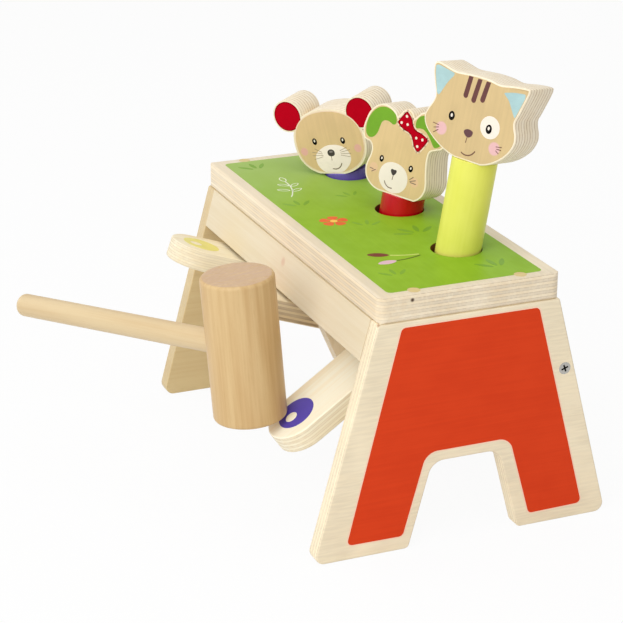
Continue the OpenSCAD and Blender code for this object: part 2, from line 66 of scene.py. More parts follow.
# ---------------------------------------------------------------- places
# The faces of the toy that carry prints and grain. Sizes are in millimetres,
# angles in degrees. On a face, x runs to the right, y up and z out of the wood.

def spot(x, y, z):
    return Matrix.Translation((x * MM, y * MM, z * MM))


def turn(degrees, axis):
    return Matrix.Rotation(math.radians(degrees), 4, axis)


BOARD_TOP = 147.0
BOARD_THICK, BOARD_PLIES = 15.0, 9
PANEL_THICK, PANEL_PLIES = 10.0, 7
LEVER_THICK, LEVER_PLIES = 12.0, 8
HANGER_THICK, HANGER_PLIES = 10.0, 6
HEAD_THICK, HEAD_PLIES = 22.0, 9
HALF_LENGTH = 127.5      # from the middle of the bench out to a panel's face
PITCH = 73.5             # from one lever, with its peg, to the next
HANGER_X = PITCH / 2
PIVOT = (-28.5, 90.5)    # y and z of the axle
STRIKE = 54.0            # from the axle out to the dot on a striking end
LEVER_DOWN, LEVER_UP = 34.5, -19.3      # a lever's turn when its striking end is down or up
HOLE_Y, HOLE_Z = 17.75, 139.5           # the middle of the pegs' holes
LONG_PEG, SHORT_PEG, PEG_LEAN = 71.0, 67.5, 9.5
MALLET_FOOT = (60.7, -98.1, 61.84)
MALLET_LEAN_X, MALLET_LEAN_Y = 4.35, -1.8
HANDLE_UP, HANDLE_HEADING = 40.3, 212.8                 # from the mallet's foot
BORED_X, BORED_Y = 118, 45              # the board's upright walls nearer in are its holes


def lever_face(x, turned):
    return spot(x, *PIVOT) @ turn(turned, "X") @ spot(0, 0, LEVER_THICK / 2)


def peg_place(x, heading, depth):
    """A peg that leans towards a heading. Its foot is so deep below the hole's middle."""
    return (spot(x, HOLE_Y, HOLE_Z) @ turn(heading, "Z") @ turn(PEG_LEAN, "Y")
            @ turn(-heading, "Z") @ spot(0, 0, -depth))


def head_face(peg, length, turned, tilt, offset, cut):
    """The front of a head on its peg's end. The cut is what its flat seat takes off."""
    return (peg @ spot(0, 0, length) @ turn(turned, "Z") @ turn(tilt, "Y")
            @ spot(offset, -HEAD_THICK / 2, -cut) @ turn(90, "X"))


BOARD_FACE = spot(0, 0, BOARD_TOP)
NEAR_FACE = spot(HALF_LENGTH, 0, 0) @ turn(90, "Z") @ turn(90, "X")
FAR_FACE = turn(180, "Z") @ NEAR_FACE
NEAR_LEVER = lever_face(PITCH, LEVER_DOWN)
MIDDLE_LEVER = lever_face(0, LEVER_UP)
FAR_LEVER = lever_face(-PITCH, LEVER_UP)
CAT_PEG = peg_place(PITCH, heading=90, depth=12.642)
DOG_PEG = peg_place(0, heading=90, depth=54.004)
MOUSE_PEG = peg_place(-PITCH, heading=241, depth=56.290)
CAT_FACE = head_face(CAT_PEG, LONG_PEG, turned=26, tilt=1, offset=-0.5, cut=0.672)
DOG_FACE = head_face(DOG_PEG, LONG_PEG, turned=30, tilt=4, offset=-1.6, cut=1.163)
MOUSE_FACE = head_face(MOUSE_PEG, SHORT_PEG, turned=36.5, tilt=-4, offset=0.3, cut=0.742)
MALLET = spot(*MALLET_FOOT) @ turn(MALLET_LEAN_Y, "Y") @ turn(MALLET_LEAN_X, "X")
HANDLE = MALLET @ spot(0, 0, HANDLE_UP) @ turn(HANDLE_HEADING, "Z") @ turn(90, "Y")

# A place turned by one of these has its grain along the bench, up a face, or
# along the axis of a turned piece.
ALONG_BENCH = Matrix.Identity(4)
UP_FACE = turn(90, "Z")
ON_AXIS = turn(-90, "Y")


# ---------------------------------------------------------------- finishes

def tint(red, green, blue):
    """A colour as it shows, from 0 to 255, as the shader wants it."""
    def linear(value):
        value /= 255
        return value / 12.92 if value <= 0.04045 else ((value + 0.055) / 1.055) ** 2.4
    return (linear(red), linear(green), linear(blue), 1.0)


def shade_of(colour, share):
    return tuple(c * share for c in colour)


WHITE = (1.0, 1.0, 1.0, 1.0)
GLUE = tint(172, 148, 116)
CROSS = tint(215, 201, 173)             # the cross grain of every other ply
BIRCH, BIRCH_DARK = tint(247, 234, 208), tint(235, 216, 183)
HONEY, HONEY_DARK, HONEY_END = tint(220, 198, 150), tint(205, 175, 125), tint(205, 170, 122)
PINK_KNOT = tint(220, 192, 164)
DARK_KNOT = tint(78, 58, 42)
# brown for marks along the front seam where the board sits on the near panel
SEAM_BROWN = tint(168, 122, 86)
# painted shade for the walls of the board's holes
HOLE_SHADE = tint(118, 78, 46)
# the last of these is painted shade for a screw's recess
BRIGHT_STEEL, DULL_STEEL, RECESS_SHADE = tint(206, 204, 198), tint(150, 147, 142), tint(52, 48, 44)
HEART = (0, 0.034, -0.052)              # the middle of a log's rings beside a piece, in metres


class Shading:
    """A tree of shader nodes, with short ways to add to it."""

    def __init__(self, tree):
        self.tree = tree

    def add(self, kind, ins=None, out=0, **settings):
        """A new node, its inputs set or linked. Gives one of its outputs."""
        node = self.tree.nodes.new("ShaderNode" + kind)
        for key, value in settings.items():
            setattr(node, key, value)
        for key, value in (ins or {}).items():
            if isinstance(value, bpy.types.NodeSocket):
                self.tree.links.new(value, node.inputs[key])
            else:
                node.inputs[key].default_value = value
        return node.outputs[out]

    def math(self, operation, *values):
        """The result of a sum on numbers or other nodes' outputs."""
        return self.add("Math", dict(enumerate(values)), operation=operation)

    def seen(self):
        """1 for what the camera sees straight, in a mirror or through glass, else 0."""
        rays = self.add("LightPath").node.outputs
        mirrored = self.math("MAXIMUM", rays["Is Glossy Ray"], rays["Is Transmission Ray"])
        return self.math("MAXIMUM", rays["Is Camera Ray"], mirrored)


class Finish(Shading):
    """A material put together around one Principled shader."""

    def __init__(self, name, **fixed):
        self.material = bpy.data.materials.new(name)
        self.material.use_nodes = True
        super().__init__(self.material.node_tree)
        self.shader = next(n for n in self.tree.nodes if n.type == "BSDF_PRINCIPLED")
        for socket, value in fixed.items():
            self.shader.inputs[socket.replace("_", " ")].default_value = value
        self.position = self.add("TexCoord", out="Object")

    def wire(self, **sockets):
        """Links outputs to the shader's sockets."""
        for socket, value in sockets.items():
            self.tree.links.new(value, self.shader.inputs[socket.replace("_", " ")])

    def span(self, value, low, high, start=0.0, end=1.0):
        """The value's stretch from low to high, turned smoothly into start to end."""
        return self.add("MapRange", {"Value": value, "From Min": low, "From Max": high,
                                     "To Min": start, "To Max": end},
                        interpolation_type="SMOOTHSTEP")

    def blend(self, share, first, second):
        return self.add("MixRGB", {"Fac": share, "Color1": first, "Color2": second})

    def local(self, place):
        """The position on a piece in metres, in the place's own directions."""
        return self.add("Mapping", {"Vector": self.position, "Location": place.to_translation(),
                                    "Rotation": place.to_euler()}, vector_type="TEXTURE")

    def noise(self, at, along, across, detail=3.0, rough=0.55, distort=0.0):
        """Noise with so many features per metre along the grain and across it."""
        scaled = self.add("Mapping", {"Vector": at, "Scale": (along, across, across)})
        return self.add("TexNoise", {"Vector": scaled, "Scale": 1.0, "Detail": detail,
                                     "Roughness": rough, "Distortion": distort})

    def near(self, point, radius, soft=0.3):
        """1 close to a point of the toy, falling to 0 at the radius."""
        apart = self.add("VectorMath", {0: self.position, 1: point}, out="Value",
                         operation="DISTANCE")
        return self.span(apart, radius * soft * MM, radius * MM, 1.0, 0.0)

    def facing(self, way):
        """How much a surface faces a way or its opposite, from 0 to 1."""
        towards = self.add("VectorMath", {0: self.add("TexCoord", out="Normal"), 1: way},
                           out="Value", operation="DOT_PRODUCT")
        return self.math("ABSOLUTE", towards)

    def bump(self, height, strength, depth):
        """Raises the surface by a height, at most so many millimetres."""
        self.wire(Normal=self.add("Bump", {"Height": height, "Strength": strength,
                                           "Distance": depth * MM}))


def late_wood(f, at, broad, apart):
    """The share of dark late wood in tree rings so many millimetres apart."""
    section = f.add("Mapping", {"Vector": at, "Scale": (0, 1, 1)})
    radius = f.add("VectorMath", {0: section, 1: HEART}, out="Value", operation="DISTANCE")
    waver = 0.004
    bent = f.math("MULTIPLY_ADD", broad, waver, radius)
    ring = f.math("FRACT", f.math("MULTIPLY", bent, 1 / (apart * MM)))
    return f.math("MULTIPLY", f.span(ring, 0.35, 0.93), f.span(ring, 0.99, 0.95))


def ply_shares(f, at, broad, plies, thick):
    """The shares of cross plies and of glue lines, both worn in patches."""
    through = f.add("SeparateXYZ", {0: at}, out="Z")
    wobble = f.math("MULTIPLY_ADD", broad, 0.16, 0.42)
    step = f.math("MULTIPLY_ADD", through, plies / (thick * MM), wobble)
    every_other = f.math("MODULO", f.math("FLOOR", step), 2.0)
    from_middle = f.math("ABSOLUTE", f.math("SUBTRACT", f.math("FRACT", step), 0.5))
    worn = f.noise(at, along=60, across=700, detail=2)
    patchy = f.noise(at, along=26, across=26, detail=2)
    strong = f.math("MULTIPLY", f.span(worn, 0.3, 0.7, 0.5, 1.0),
                    f.span(patchy, 0.35, 0.65, 0.45, 1.0))
    return (f.math("MULTIPLY", every_other, strong),
            f.math("MULTIPLY", f.span(from_middle, 0.34, 0.48), strong))


def end_grain(f, place, at):
    """The share of specked end grain, where a surface faces along the grain."""
    ends = f.span(f.facing(place.to_3x3().col[0]), 0.93, 0.995)
    combed = f.add("Mapping", {"Vector": at, "Scale": (300, 110, 1500)})
    speck = f.add("TexNoise", {"Vector": combed, "Scale": 1.0, "Detail": 3.0})
    return f.math("MULTIPLY", ends, f.span(speck, 0.35, 0.62, 0.35, 1.0))


def hole_walls(f, half_x, half_y):
    """The share of upright walls within a rectangle around the toy's middle: the walls of the
    holes, which take painted shade.
    """
    share = f.span(f.facing((0, 0, 1)), 0.6, 0.3)
    position = f.add("SeparateXYZ", {0: f.position}).node
    for axis, half in (("X", half_x), ("Y", half_y)):
        off = f.math("ABSOLUTE", position.outputs[axis])
        share = f.math("MULTIPLY", share, f.math("LESS_THAN", off, half * MM))
    return share


def wood(name, place, light, dark, plies=0, thick=0, bands=0.6, lines=0.4, cross=CROSS,
         glue=GLUE, rings=0, end=None, spots=(), bored=None, rough=0.5, figure=1.0):
    """Bare lacquered wood. Its grain follows the place's x, its plies lie across z.

    A spot is a point of the toy, a radius and a colour. Bored gives half the
    size of the area that holes go through, and the colour of the painted shade on their walls.
    """
    f = Finish(name, Coat_Weight=0.08, Coat_Roughness=0.35, Specular_IOR_Level=0.3)
    at = f.local(place)
    streaks = f.noise(at, along=10, across=420, detail=4, rough=0.6, distort=0.4)
    broad = f.noise(at, along=5, across=55, detail=2, rough=0.5, distort=0.6)
    pores = f.noise(at, along=170, across=2600, detail=1, rough=0.5)
    tone = f.math("MULTIPLY_ADD", broad, 0.55, f.math("MULTIPLY", streaks, 0.45))
    colour = f.blend(f.span(tone, 0.34, 0.68, 0.0, figure), light, dark)
    colour = f.blend(f.span(pores, 0.6, 0.74, 0.0, 0.3 * figure), colour, dark)
    if rings:
        late = late_wood(f, at, broad, rings)
        colour = f.blend(f.math("MULTIPLY", late, 0.4 * figure), colour, dark)
    if plies:
        crossed, glued = ply_shares(f, at, broad, plies, thick)
        colour = f.blend(f.math("MULTIPLY", crossed, bands), colour, cross)
        colour = f.blend(f.math("MULTIPLY", glued, lines), colour, glue)
    if end:
        colour = f.blend(end_grain(f, place, at), colour, end)
    for point, radius, mark in spots:
        colour = f.blend(f.near(Vector(point) * MM, radius), colour, mark)
    # painted shade darkens the upright walls of the holes
    if bored:
        half_x, half_y, hole_shade = bored
        colour = f.blend(hole_walls(f, half_x, half_y), colour, hole_shade)
    f.wire(Base_Color=colour, Roughness=f.span(streaks, 0.2, 0.8, rough - 0.05, rough + 0.08))
    f.bump(f.math("MULTIPLY_ADD", pores, 0.5, streaks), strength=0.25, depth=0.12)
    return f.material


def ply(name, place, thick, plies, light=BIRCH, dark=BIRCH_DARK, **more):
    """Plywood whose face is the place's plane, its thickness behind it."""
    return wood(name, place @ spot(0, 0, -thick), light, dark, plies, thick, **more)


def paint(name, place, colour, shade, rough=0.4, shine=0.12, grain=0.25, spots=(), fade_and_sheen=None):
    """An even coat of paint or ink. The grain under it shows through faintly.

    A fade_and_sheen is another colour and the two points along x between which
    it comes in: partly the print's own shading, partly a painted reflection.
    A spot is a point of the toy, a radius, a colour and its solid share.
    """
    f = Finish(name, Specular_IOR_Level=shine)
    at = f.local(place)
    streaks = f.noise(at, along=14, across=600, distort=0.2)
    cloud = f.noise(at, along=45, across=70, detail=2)
    tone = f.math("MULTIPLY_ADD", streaks, grain, f.math("MULTIPLY", cloud, 1 - grain))
    coloured = f.blend(f.span(tone, 0.33, 0.67), colour, shade)
    if fade_and_sheen:
        faded, start, stop = fade_and_sheen
        along = f.add("SeparateXYZ", {0: at}, out="X")
        coloured = f.blend(f.span(along, start * MM, stop * MM), coloured, faded)
    for point, radius, mark, soft in spots:
        coloured = f.blend(f.near(Vector(point), radius, soft), coloured, mark)
    f.wire(Base_Color=coloured, Roughness=f.span(cloud, 0.3, 0.7, rough - 0.03, rough + 0.05))
    f.bump(streaks, strength=0.2 * grain + 0.05, depth=0.06)
    return f.material


def steel(name, screw_face=None):
    """Plated steel with fine turning marks, with painted shade in the recess below a screw's face.
    """
    f = Finish(name, Metallic=1.0)
    marks = f.noise(f.position, along=300, across=2200, rough=0.6)
    colour = f.blend(marks, BRIGHT_STEEL, DULL_STEEL)
    # painted shade: below a screw's face the steel turns dark
    if screw_face:
        out = f.math("ABSOLUTE", f.add("SeparateXYZ", {0: f.position}, out="X"))
        deep, shallow = (screw_face - 0.5) * MM, (screw_face - 0.1) * MM
        colour = f.blend(f.span(out, deep, shallow, 1.0, 0.0), colour, RECESS_SHADE)
    f.wire(Base_Color=colour, Roughness=f.span(marks, 0.3, 0.7, 0.22, 0.38))
    f.bump(marks, strength=0.15, depth=0.03)
    return f.material


# ---------------------------------------------------------------- bare wood, pegs and steel

PANEL_RIM, HEAD_RIM = 1.0, 0.7          # width of the rims that are sanded round
SCREW_CLEAR = 8                         # radius round a screw that keeps its sharp edges


def dress(node, material):
    """Gives a CAD piece its one material."""
    slots = NODES[node].data.materials
    slots.clear()
    slots.append(material)


def add_piece(name, mesh, body):
    """A new piece that rides on a body."""
    piece = bpy.data.objects.new(name, mesh)
    bpy.context.scene.collection.objects.link(piece)
    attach(piece, body)
    return piece


def sanded(node, face, body, width, thick, material, holes=()):
    """A copy of a flat CAD piece with the rims of its two faces sanded round.

    A hole is a place on the face and a radius, within which edges stay sharp.
    """
    bm = bmesh.new()
    bm.from_mesh(NODES[node].data)
    bmesh.ops.remove_doubles(bm, verts=bm.verts, dist=MERGE)
    bmesh.ops.dissolve_limit(bm, angle_limit=COPLANAR, verts=bm.verts, edges=bm.edges)
    bmesh.ops.recalc_face_normals(bm, faces=bm.faces)
    bmesh.ops.transform(bm, matrix=face.inverted(), verts=bm.verts)
    bm.normal_update()

    def flat(plate):
        depth = plate.calc_center_median().z
        return abs(plate.normal.z) > LEVEL and min(abs(depth), abs(depth + thick * MM)) < ON_FACE

    def clear(edge):
        middle = (edge.verts[0].co + edge.verts[1].co) / 2
        return all((middle.xy - Vector((x, y)) * MM).length > r * MM for x, y, r in holes)

    rims = [e for e in bm.edges if len(e.link_faces) == 2
            and sum(flat(plate) for plate in e.link_faces) == 1 and clear(e)]
    bmesh.ops.bevel(bm, geom=rims, offset=width * MM, offset_type="OFFSET", segments=3,
                    profile=0.5, affect="EDGES", material=-1, clamp_overlap=True)
    bm.normal_update()
    for plate in bm.faces:
        plate.smooth = abs(plate.normal.z) < LEVEL
    for edge in bm.edges:
        edge.smooth = edge.calc_face_angle(0) < SHARP
    bmesh.ops.transform(bm, matrix=face, verts=bm.verts)
    mesh = bpy.data.meshes.new(node + "_sanded")
    bm.to_mesh(mesh)
    bm.free()
    mesh.materials.append(material)
    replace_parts(add_piece(node + "_sanded", mesh, body), node)


def dress_bench():
    """The board, the panels, and what joins them and carries the levers."""
    dress("top_board", ply("board ply", BOARD_FACE, BOARD_THICK, BOARD_PLIES, bands=1.0,
                           lines=0.6, cross=tint(223, 209, 185), glue=tint(172, 150, 120),
                           bored=(BORED_X, BORED_Y, HOLE_SHADE),
                           spots=[((127.5, -34, 143.6), 1.5, DARK_KNOT),
                                  # brown marks along the front seam between the board and the near
                                  # panel
                                  ((125.5, -53, 132), 1.6, SEAM_BROWN),
                                  ((118, -53, 132.2), 1.3, SEAM_BROWN)]))
    low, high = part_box("rail_screws")
    screw_y, screw_z = ((low[axis] + high[axis]) / 2 / MM for axis in (1, 2))
    near = ply("near panel ply", NEAR_FACE, PANEL_THICK, PANEL_PLIES, tint(254, 240, 209),
               tint(247, 229, 192), lines=0.7, figure=0.35,
               spots=[((126.4, -53, 132.6), 2.0, SEAM_BROWN)])
    far = ply("far panel ply", FAR_FACE, PANEL_THICK, PANEL_PLIES, HONEY, HONEY_DARK,
              lines=0.7, figure=0.6)
    for node, face, screw_x, material in (("end_panel_near", NEAR_FACE, screw_y, near),
                                          ("end_panel_far", FAR_FACE, -screw_y, far)):
        sanded(node, face, "bench", PANEL_RIM, PANEL_THICK, material,
               holes=[(screw_x, screw_z, SCREW_CLEAR)])
    dress("front_apron", wood("apron wood", ALONG_BENCH, tint(230, 217, 190),
                              tint(221, 204, 169), figure=0.7,
                              spots=[((1, -54.5, 124.8), 3.6, PINK_KNOT)]))
    dress("back_rail", wood("rail wood", ALONG_BENCH, BIRCH, BIRCH_DARK, rings=2.4))
    dress("board_dowels", wood("dowel wood", ON_AXIS, HONEY, HONEY_DARK, rings=1.1,
                               end=tint(222, 200, 138)))
    dress("axle_sleeves", wood("sleeve wood", ALONG_BENCH, HONEY, HONEY_DARK, rings=1.5,
                               end=HONEY_END))
    for node, x in (("hanger_near", HANGER_X), ("hanger_far", -HANGER_X)):
        far_side = spot(x - HANGER_THICK / 2, 0, 0) @ turn(-90, "Y")
        dress(node, ply(node + " ply", far_side, HANGER_THICK, HANGER_PLIES))
    dress("rail_screws", steel("screw steel", HALF_LENGTH))
    dress("axle_rod", steel("rod steel"))


def dress_levers():
    """Plywood levers. The near lever's colours are paler than the others' as a painted highlight
    on its top; the middle lever's brown cross plies are its own.
    """
    for node, face, light, dark, bands, cross in (
            # painted highlight: the near lever's colours are paler than the other levers'
            ("lever_near", NEAR_LEVER, tint(255, 250, 229), tint(251, 237, 205), 0.8,
             tint(212, 190, 150)),
            ("lever_middle", MIDDLE_LEVER, tint(250, 237, 208), tint(240, 219, 178), 0.9,
             tint(128, 88, 54)),
            ("lever_far", FAR_LEVER, tint(246, 237, 210), tint(236, 219, 182), 0.5, CROSS)):
        dress(node, ply(node + " ply", face @ UP_FACE, LEVER_THICK, LEVER_PLIES, light, dark,
                        bands=bands, lines=0.6, cross=cross))


def dress_pegs():
    """The lacquered pegs, the plywood heads and the pins between them."""
    for animal, face, peg, lacquer, colour, shade, rough, shine in (
            ("cat", CAT_FACE, CAT_PEG, "yellow lacquer", tint(231, 231, 105),
             tint(225, 226, 94), 0.36, 0.2),
            ("dog", DOG_FACE, DOG_PEG, "red lacquer", tint(198, 7, 22),
             tint(180, 4, 16), 0.2, 0.3),
            ("mouse", MOUSE_FACE, MOUSE_PEG, "purple lacquer", tint(106, 90, 178),
             tint(94, 78, 166), 0.24, 0.25)):
        head, pin = animal + "_head", animal + "_pin"
        sanded(head, face, animal, HEAD_RIM, HEAD_THICK,
               ply(head + " ply", face @ UP_FACE, HEAD_THICK, HEAD_PLIES, tint(250, 240, 218),
                   tint(240, 224, 194), bands=0.35, lines=1.0, glue=tint(174, 142, 104),
                   cross=tint(236, 220, 188), figure=0.8))
        dress(pin, wood(pin + " wood", ON_AXIS, HONEY, HONEY_DARK, rings=1.2, end=HONEY_END))
        dress(animal + "_peg", paint(lacquer, peg @ ON_AXIS, colour, shade, rough, shine))


def dress_mallet():
    """A darker turned head on a paler handle, both with bare end grain."""
    for node, place, light, dark, end, figure in (
            ("mallet_head", MALLET, tint(214, 184, 134), tint(188, 147, 92),
             tint(199, 166, 135), 0.75),
            ("mallet_handle", HANDLE, tint(216, 194, 154), tint(202, 174, 130),
             tint(206, 174, 138), 0.8)):
        dress(node, wood(node.replace("_", " ") + " wood", place @ ON_AXIS, light, dark,
                         end=end, rough=0.42, figure=figure))


# ---------------------------------------------------------------- prints

Surface = namedtuple("Surface", "face body slot")       # a printed side of a body


class Print:
    """Flat shapes on one face of the toy, raised into a thin layer of ink."""

    def __init__(self, surface):
        self.surface = surface
        self.bm = bmesh.new()

    def oval(self, x, y, wide, tall, lean=0, steps=40, fuller=1.0):
        """An oval. With fuller below 1, it bulges towards its box."""
        made = bmesh.ops.create_circle(self.bm, cap_ends=True, radius=1, segments=steps)
        for vert in made["verts"]:
            for i in (0, 1):
                vert.co[i] = math.copysign(abs(vert.co[i]) ** fuller, vert.co[i])
        form = (spot(x, y, 0) @ turn(lean, "Z")
                @ Matrix.Diagonal((wide / 2 * MM, tall / 2 * MM, MM, 1)))
        bmesh.ops.transform(self.bm, matrix=form, verts=made["verts"])
        return self

    def ring(self, x, y, outer, hole_x, hole_y, inner):
        """A round spot with a round hole, which may be off its middle."""
        edges = []
        for cx, cy, radius in ((x, y, outer), (hole_x, hole_y, inner)):
            made = bmesh.ops.create_circle(self.bm, radius=radius * MM, segments=56,
                                           matrix=spot(cx, cy, 0))
            edges += list({e for v in made["verts"] for e in v.link_edges})
        bmesh.ops.bridge_loops(self.bm, edges=edges)
        return self

    def outline(self, points, round_share=46, rim=0.0):
        """A closed outline, less a rim, whose corners are rounded by a share of their sides."""
        verts = [self.bm.verts.new((x * MM, y * MM, 0)) for x, y in points]
        self.bm.faces.new(verts)
        if rim:
            self.bm.normal_update()
            self.inset(rim)
            verts = self.bm.verts[:]
        bmesh.ops.bevel(self.bm, geom=verts, offset=round_share, offset_type="PERCENT",
                        segments=5, profile=0.5, affect="VERTICES", material=-1,
                        clamp_overlap=False)
        return self

    def cornered(self, points, radii):
        """A closed outline, each corner rounded by its own radius."""
        verts = [self.bm.verts.new((x * MM, y * MM, 0)) for x, y in points]
        self.bm.faces.new(verts)
        for i, radius in enumerate(radii):
            a, b, c = (Vector(points[k % len(points)]) for k in (i - 1, i, i + 1))
            back = radius / math.tan((a - b).angle(c - b) / 2)
            bmesh.ops.bevel(self.bm, geom=[verts[i]], offset=back * MM, offset_type="OFFSET",
                            segments=6, profile=0.5, affect="VERTICES", material=-1,
                            clamp_overlap=False)
        return self

    def stroke(self, x0, y0, x1, y1, width):
        """A straight stroke with round ends."""
        run = Vector((x1 - x0, y1 - y0))
        made = bmesh.ops.create_circle(self.bm, cap_ends=True, radius=width / 2 * MM,
                                       segments=14)
        for vert in made["verts"]:
            vert.co.x += math.copysign(run.length / 2 * MM, vert.co.x)
        place = (spot((x0 + x1) / 2, (y0 + y1) / 2, 0)
                 @ turn(math.degrees(math.atan2(run.y, run.x)), "Z"))
        bmesh.ops.transform(self.bm, matrix=place, verts=made["verts"])
        return self

    def strokes(self, lines, width):
        """Straight strokes of one width."""
        for line in lines:
            self.stroke(*line, width)
        return self

    def curve(self, first, middle, last, width):
        """A curved stroke on the circle through three points."""
        a, b, c = (Vector(p) for p in (first, middle, last))
        side = 2 * ((b - a).x * (c - a).y - (b - a).y * (c - a).x)
        to_b, to_c = (b - a).length_squared, (c - a).length_squared
        centre = a + Vector(((c - a).y * to_b - (b - a).y * to_c,
                             (b - a).x * to_c - (c - a).x * to_b)) / side
        out = (a - centre).normalized()
        sweep = (c - centre).angle_signed(a - centre)
        if (b - centre).angle_signed(a - centre) * sweep < 0:
            sweep -= math.copysign(2 * math.pi, sweep)
        ends = [self.bm.verts.new((*(a + out * w) * MM, 0)) for w in (-width / 2, width / 2)]
        edge = self.bm.edges.new(ends)
        bmesh.ops.spin(self.bm, geom=[*ends, edge], cent=(*centre * MM, 0), axis=(0, 0, 1),
                       dvec=(0, 0, 0), angle=sweep, steps=14, use_merge=False)
        return self

    def leaf(self, x, y, length, width, heading):
        """A pointed leaf from its stalk at x, y."""
        form = [(0, 0), (0.28, 0.42), (0.66, 0.46), (1, 0), (0.66, -0.46), (0.28, -0.42)]
        ahead = Vector((math.cos(math.radians(heading)), math.sin(math.radians(heading))))
        left = Vector((-ahead.y, ahead.x))
        return self.outline([Vector((x, y)) + ahead * a * length + left * b * width
                             for a, b in form], 42)

    def hollow(self, line):
        """Leaves a line along the rim of each shape."""
        bm = self.bm
        rims = bmesh.ops.inset_individual(bm, faces=bm.faces[:], thickness=line * MM,
                                          use_even_offset=True)["faces"]
        bmesh.ops.delete(bm, geom=[f for f in bm.faces if f not in rims], context="FACES")
        return self

    def inset(self, rim):
        """Takes a rim off the shapes all round."""
        bm = self.bm
        cut = bmesh.ops.inset_region(bm, faces=bm.faces, thickness=rim * MM,
                                     use_boundary=True, use_even_offset=True)
        bmesh.ops.delete(bm, geom=cut["faces"], context="FACES")
        return self

    def front_of(self, node, rim=0.0):
        """The flat front of a CAD piece, less a rim of bare wood."""
        bm = self.bm
        bm.from_mesh(NODES[node].data)
        bmesh.ops.transform(bm, matrix=self.surface.face.inverted(), verts=bm.verts)
        bmesh.ops.remove_doubles(bm, verts=bm.verts, dist=MERGE)
        bm.normal_update()
        rest = [f for f in bm.faces
                if f.normal.z < LEVEL or abs(f.calc_center_median().z) > ON_FACE]
        bmesh.ops.delete(bm, geom=rest, context="FACES")
        bmesh.ops.dissolve_limit(bm, angle_limit=COPLANAR, verts=[], edges=bm.edges)
        return self.inset(rim) if rim else self

    def trim(self, x, y, out_x, out_y):
        """Cuts off what lies beyond a line through x, y."""
        bm = self.bm
        bmesh.ops.bisect_plane(bm, geom=[*bm.verts, *bm.edges, *bm.faces], dist=MERGE,
                               plane_co=(x * MM, y * MM, 0), plane_no=(out_x, out_y, 0),
                               clear_outer=True)
        return self

    def trim_box(self, left, right, low, high, corner):
        """Cuts off what lies outside a box with rounded corners."""
        for x, out in ((left, -1), (right, 1)):
            self.trim(x, 0, out, 0)
            for y, up in ((low, -1), (high, 1)):
                self.trim(0, y, 0, up)
                for degrees in (18, 36, 54, 72):
                    c, s = math.cos(math.radians(degrees)), math.sin(math.radians(degrees))
                    self.trim(x - out * corner * (1 - c), y - up * corner * (1 - s),
                              out * c, up * s)
        return self

    def made(self, name, material, layer):
        """Raises the shapes from the wood up to a layer and makes them a piece."""
        bm = self.bm
        raised = bmesh.ops.extrude_face_region(bm, geom=bm.faces[:])
        tops = [v for v in raised["geom"] if isinstance(v, bmesh.types.BMVert)]
        bmesh.ops.translate(bm, verts=tops, vec=(0, 0, layer * LAYER))
        bmesh.ops.recalc_face_normals(bm, faces=bm.faces)
        bmesh.ops.transform(bm, matrix=self.surface.face, verts=bm.verts)
        mesh = bpy.data.meshes.new(name)
        bm.to_mesh(mesh)
        bm.free()
        mesh.materials.append(material)
        add_piece(name, mesh, self.surface.body)


def ink(name, colour, darker=0.95, **more):
    """An ink of one colour, clouded with a slightly darker one."""
    return paint(name, ALONG_BENCH, tint(*colour), tint(*shade_of(colour, darker)), **more)


INKS = {
    "black": ink("black ink", (14, 11, 11), grain=0.1, shine=0.05),
    "white": ink("white ink", (243, 233, 220), 0.98),
    "nose": ink("nose ink", (104, 72, 76)),
    "grey nose": ink("grey nose ink", (72, 66, 64)),
    "brown": ink("brown stripe ink", (106, 68, 66), grain=0.3),
    "line": ink("line ink", (112, 78, 66)),
    "grey line": ink("grey line ink", (126, 106, 92)),
    "blue": ink("blue ear ink", (174, 207, 209), grain=0.4),
    "green": ink("green ear ink", (119, 170, 48), grain=0.3),
    "red": ink("red ear ink", (187, 2, 28), grain=0.3, shine=0.02),
    "dark red": ink("dark red ink", (136, 0, 12), grain=0.3, shine=0.02),
    "cream": ink("cream rim ink", (244, 220, 194), grain=0.3),
    "muzzle": ink("pale muzzle ink", (255, 240, 232), grain=0.3),
    "whisker": ink("whisker ink", (166, 146, 124)),
    "grey": ink("grey ink", (140, 130, 130)),
}
HEAD_MARGIN = 0.95       # bare wood round the print on a head


